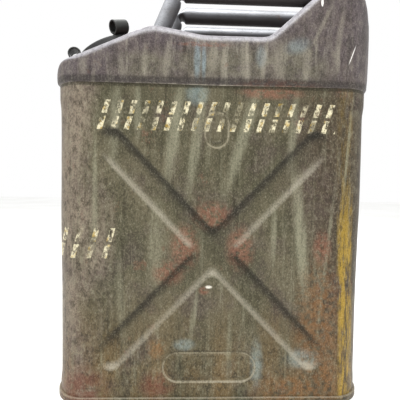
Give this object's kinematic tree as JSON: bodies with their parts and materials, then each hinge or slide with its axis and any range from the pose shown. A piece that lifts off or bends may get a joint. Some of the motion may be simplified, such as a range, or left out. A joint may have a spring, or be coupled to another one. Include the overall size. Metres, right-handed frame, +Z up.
{
  "type": "fuel can",
  "caption": "Rectangular pressed-steel fuel can with an X pressed into each broad face, a slanted screw-cap filler, carrying tubes over the top and a hump at the rear end.",
  "frame": {"origin": "middle of the body's footprint, on the plane that the base rim stands on", "axes": "+Z up, -X towards the filler and its cap, +X towards the hump, -Y the near broad face"},
  "size_m": [0.3586, 0.172, 0.4706],
  "materials": {
    "body_paint": "old olive-drab paint, chalky and rust stained",
    "rim_paint": "worn olive-drab paint over a rolled edge",
    "top_paint": "smoother purple-grey paint with runs",
    "handle_steel": "grey paint worn to bright steel on top",
    "weld_steel": "dark painted weld bead",
    "cap_steel": "dark grey worn paint on drawn steel",
    "ear_steel": "dark worn steel strip",
    "gasket_rubber": "matte black rubber",
    "retainer_steel": "dull plated steel"
  },
  "bodies": {
    "can": {"body_shell": "body_paint", "body_side_seam": "body_paint", "bottom_pan": "body_paint", "base_rim": "rim_paint", "top_shell": "top_paint", "shoulder_seam": "rim_paint", "handle_near": "handle_steel", "handle_centre": "handle_steel", "handle_far": "handle_steel", "handle_front_welds": "weld_steel", "handle_rear_welds": "weld_steel", "filler_neck": "cap_steel", "neck_weld": "weld_steel", "neck_thread": "cap_steel"},
    "gasket": {"cap_gasket": "gasket_rubber", "gasket_retainer": "retainer_steel"},
    "cap": {"cap_shell": "cap_steel", "cap_thread": "cap_steel", "cap_ear_front": "ear_steel", "cap_ear_near": "ear_steel", "cap_ear_far": "ear_steel", "cap_ear_welds": "weld_steel"}
  },
  "joints": [
    {"name": "cap_lift", "type": "slide", "parent": "can", "child": "gasket", "axis": [-0.4083, 0, 0.9128], "range_m": [0, 0.0112]},
    {"name": "cap_turn", "type": "hinge", "parent": "gasket", "child": "cap", "pos_m": [-0.1232, 0, 0.3903], "axis": [-0.4083, 0, 0.9128], "range_deg": [0, 630]}
  ],
  "couplings": [
    {"joint": "cap_lift", "follows": "cap_turn", "m_per_rad": 0.0010106}
  ]
}
